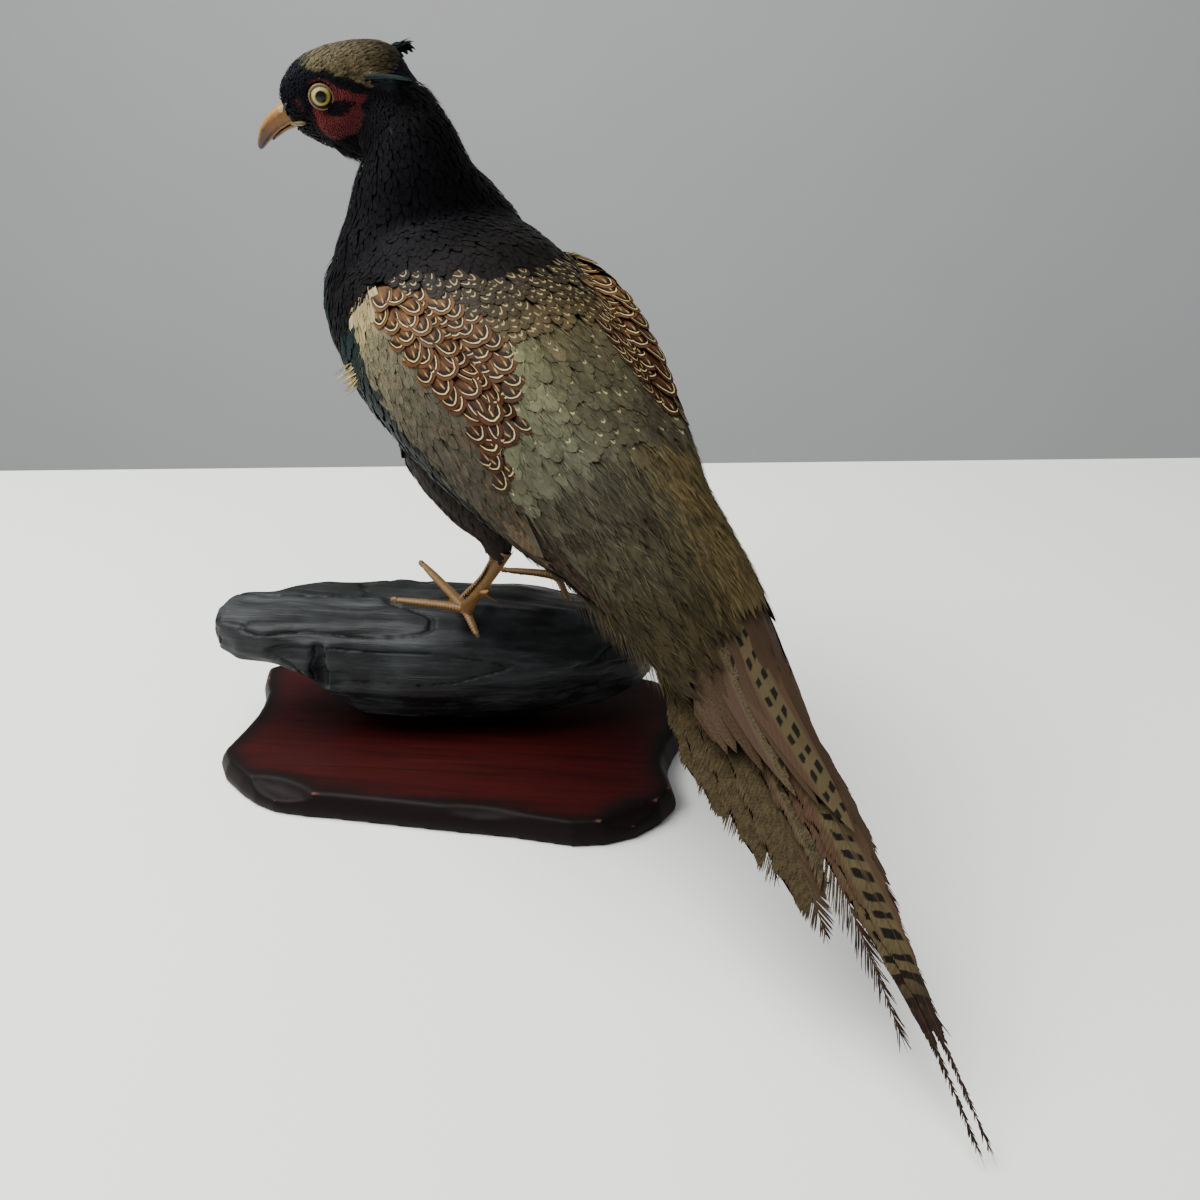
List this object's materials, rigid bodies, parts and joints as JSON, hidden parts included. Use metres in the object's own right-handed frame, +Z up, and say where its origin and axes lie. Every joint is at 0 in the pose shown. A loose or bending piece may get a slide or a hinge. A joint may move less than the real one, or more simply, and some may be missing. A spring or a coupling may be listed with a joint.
{
  "type": "taxidermy Japanese green pheasant",
  "caption": "Life-size still model of a cock Japanese green pheasant, preserved and mounted standing on a black log over a carved lacquered plaque.",
  "frame": {"origin": "middle of the plaque's underside", "axes": "+Z up, +X along the plaque's long side towards the tail's end of it, +Y to the plaque's back"},
  "size_m": [0.3938, 0.398, 0.3739],
  "materials": {
    "crown_plumage": "short bronze-olive feathers with a silky gloss",
    "black_plumage": "black feathers with a blue-green and purple gloss",
    "body_plumage": "very dark bottle-green feathers",
    "wing_plumage": "grey-buff wing feathers with chestnut, cream-edged shoulder feathers",
    "rump_plumage": "loose hair-like grey-green feathers",
    "thigh_plumage": "short black-brown feathers",
    "tail_plumage": "stiff olive-buff feathers with paired black blotches",
    "bill_horn": "varnished yellow-brown horn",
    "leg_scutes": "dried ochre-tan scutes with a thin varnish",
    "wattle_skin": "dull dark red skin covered in fine papillae",
    "glass_eye": "yellow glass eye with a black pupil",
    "lacquered_wood": "red-brown lacquer, rubbed dark towards the rim",
    "blackened_wood": "satin black stain over rough wood"
  },
  "bodies": {
    "root": {"head": "crown_plumage", "bill_upper": "bill_horn", "bill_lower": "bill_horn", "neck": "black_plumage", "eye_left": "glass_eye", "wattle_left": "wattle_skin", "ear_tuft_left": "black_plumage", "wing_left": "wing_plumage", "thigh_left": "thigh_plumage", "leg_left": "leg_scutes", "foot_left": "leg_scutes", "eye_right": "glass_eye", "wattle_right": "wattle_skin", "ear_tuft_right": "black_plumage", "wing_right": "wing_plumage", "thigh_right": "thigh_plumage", "leg_right": "leg_scutes", "foot_right": "leg_scutes", "trunk": "body_plumage", "rump": "rump_plumage", "tail_feather_1_left": "tail_plumage", "tail_feather_1_right": "tail_plumage", "tail_feather_2_left": "tail_plumage", "tail_feather_2_right": "tail_plumage", "tail_feather_3_left": "tail_plumage", "tail_feather_3_right": "tail_plumage", "tail_feather_4_left": "tail_plumage", "tail_feather_4_right": "tail_plumage", "tail_feather_5_left": "tail_plumage", "tail_feather_5_right": "tail_plumage", "tail_feather_6_left": "tail_plumage", "tail_feather_6_right": "tail_plumage", "stand_plaque": "lacquered_wood", "stand_log": "blackened_wood"}
  },
  "joints": []
}
